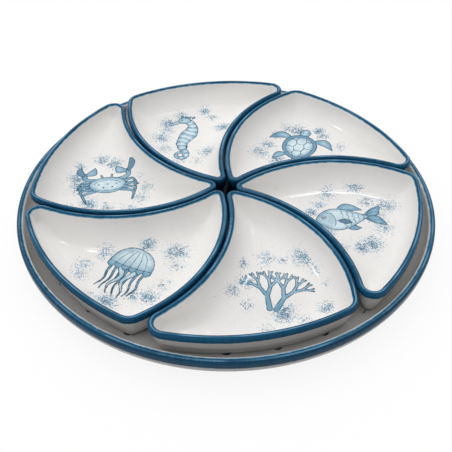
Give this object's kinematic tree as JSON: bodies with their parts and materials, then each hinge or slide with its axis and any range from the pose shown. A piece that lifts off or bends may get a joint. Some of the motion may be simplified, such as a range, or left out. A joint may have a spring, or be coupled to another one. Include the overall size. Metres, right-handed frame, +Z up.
{
  "type": "appetizer platter",
  "caption": "Round glazed earthenware tray with a beaded blue rim, holding swirled dishes that nest like a pinwheel and lift out to serve snacks and dips.",
  "frame": {"origin": "on the table, under the middle of the tray", "axes": "+Z up through the middle of the tray, +X to the right and +Y to the rear of the set as pictured"},
  "size_m": [0.374, 0.374, 0.0388],
  "materials": {
    "tray_glaze": "gloss white glaze with a blue painted rim",
    "dish_glaze": "gloss white glaze with a blue painted rim and a blue painted floor"
  },
  "bodies": {
    "tray": {"tray": "tray_glaze"},
    "dish_right": {"dish_right": "dish_glaze"},
    "dish_rear_right": {"dish_rear_right": "dish_glaze"},
    "dish_rear": {"dish_rear": "dish_glaze"},
    "dish_left": {"dish_left": "dish_glaze"},
    "dish_front_left": {"dish_front_left": "dish_glaze"},
    "dish_front": {"dish_front": "dish_glaze"}
  },
  "joints": [
    {"name": "right_dish_lift", "type": "slide", "parent": "tray", "child": "dish_right", "axis": [0, 0, 1], "range_m": [0, 0.06]},
    {"name": "rear_right_dish_lift", "type": "slide", "parent": "tray", "child": "dish_rear_right", "axis": [0, 0, 1], "range_m": [0, 0.06]},
    {"name": "rear_dish_lift", "type": "slide", "parent": "tray", "child": "dish_rear", "axis": [0, 0, 1], "range_m": [0, 0.06]},
    {"name": "left_dish_lift", "type": "slide", "parent": "tray", "child": "dish_left", "axis": [0, 0, 1], "range_m": [0, 0.06]},
    {"name": "front_left_dish_lift", "type": "slide", "parent": "tray", "child": "dish_front_left", "axis": [0, 0, 1], "range_m": [0, 0.06]},
    {"name": "front_dish_lift", "type": "slide", "parent": "tray", "child": "dish_front", "axis": [0, 0, 1], "range_m": [0, 0.06]}
  ]
}
